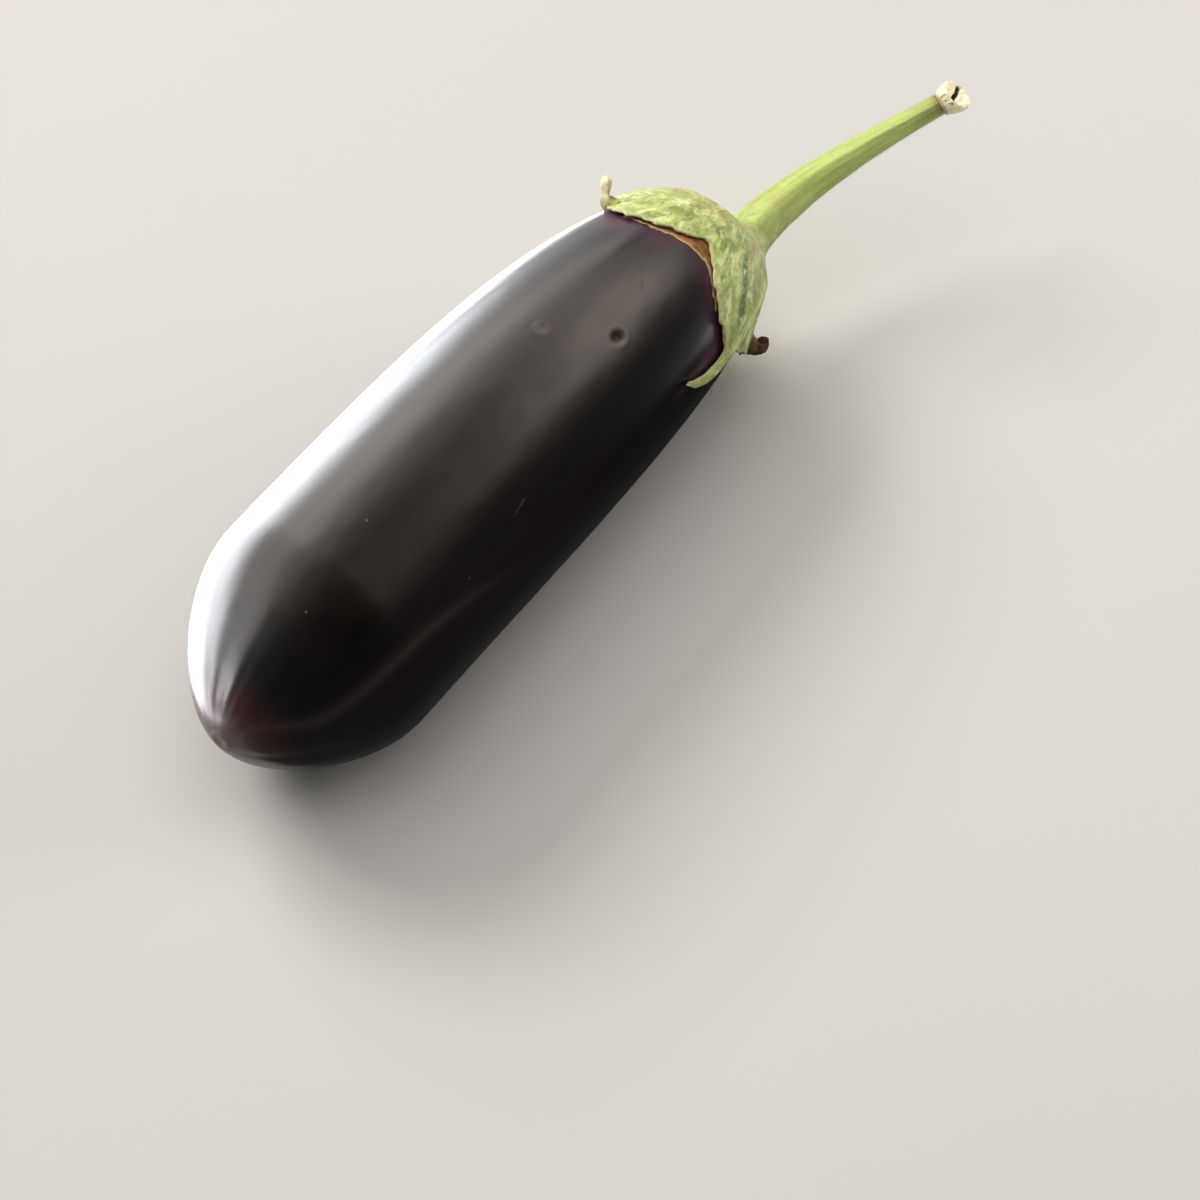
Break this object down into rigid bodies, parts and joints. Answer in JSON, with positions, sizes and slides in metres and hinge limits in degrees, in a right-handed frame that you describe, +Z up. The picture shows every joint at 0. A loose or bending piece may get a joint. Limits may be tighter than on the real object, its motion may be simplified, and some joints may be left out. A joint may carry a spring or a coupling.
{
  "type": "eggplant",
  "caption": "Long oval aubergine lying on its belly: near-black glossy fruit, green lobed calyx with a curved stalk, and a dried, split stalk end.",
  "frame": {"origin": "middle of the flat rest spot on the fruit's belly, under the centre of mass, on the surface it lies on", "axes": "+X along the fruit from the blossom end to the stalk, +Z up, +Y to the side away from the stalk's bend"},
  "size_m": [0.2653, 0.0654, 0.0656],
  "materials": {
    "skin": "glossy, waxy, near-black purple",
    "green": "matt fleshy green with pale and brown mottling",
    "dried": "dry and straw-coloured"
  },
  "bodies": {
    "root": {"fruit": "skin", "calyx_and_stalk": "green", "dried_cut_end": "dried"}
  },
  "joints": []
}
